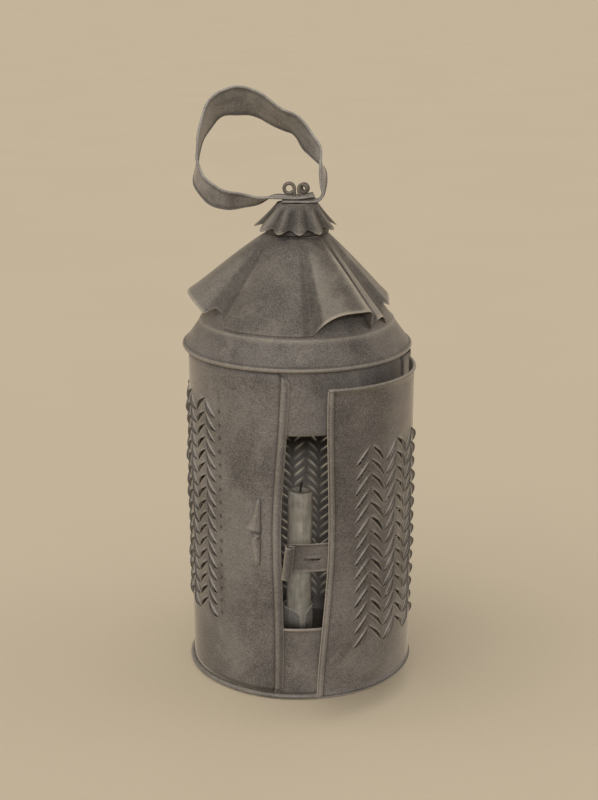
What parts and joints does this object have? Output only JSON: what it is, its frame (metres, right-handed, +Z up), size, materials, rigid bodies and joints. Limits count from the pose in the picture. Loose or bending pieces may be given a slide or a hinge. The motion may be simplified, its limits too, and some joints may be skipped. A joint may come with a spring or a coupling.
{
  "type": "candle lantern",
  "caption": "Punched-tin candle lantern: round body with herringbone slits, hinged door with hasp, fluted roof hood and strap ring handle.",
  "frame": {"origin": "centre of the base's underside, on the lantern's axis", "axes": "+Z up along the lantern's axis, -Y out of the front, +X to the right of a viewer in front; the door's hinges are at the right"},
  "size_m": [0.1544, 0.1902, 0.3963],
  "materials": {
    "tin": "aged dark tinplate, dull and mottled",
    "roof_tin": "aged tinplate, dull and worn",
    "inner_tin": "sooty tinplate",
    "wire": "bare drawn wire, dull",
    "wax": "dingy ivory candle wax",
    "wick": "charred cotton wick"
  },
  "bodies": {
    "lantern": {"base_pan": "tin", "body_sheet_left": "tin", "body_sheet_right": "tin", "door_sill": "tin", "head_band": "tin", "roof_cone": "roof_tin", "vent_hood": "roof_tin", "crown_cap": "roof_tin", "crown_ruffle": "roof_tin", "staple": "tin", "candle_socket": "inner_tin", "body_hinge_lower": "tin", "hinge_pin_lower": "wire", "body_hinge_upper": "tin", "hinge_pin_upper": "wire"},
    "door": {"door_panel": "tin", "hasp": "tin", "door_hinge_lower": "tin", "door_hinge_upper": "tin"},
    "handle": {"ring_strap": "roof_tin", "eye_wire": "wire"},
    "candle_unit": {"candle": "wax", "wick": "wick"}
  },
  "joints": [
    {"name": "door_hinge", "type": "hinge", "parent": "lantern", "child": "door", "pos_m": [0.07463, -0.01586, 0.117], "axis": [0, 0, 1], "range_deg": [-25.2, 95]},
    {"name": "ring_swivel", "type": "hinge", "parent": "lantern", "child": "handle", "pos_m": [0, 0, 0.3216], "axis": [0, 0, 1], "continuous": true},
    {"name": "candle_lift", "type": "slide", "parent": "lantern", "child": "candle_unit", "axis": [0, 0, 1], "range_m": [0, 0.036]}
  ]
}
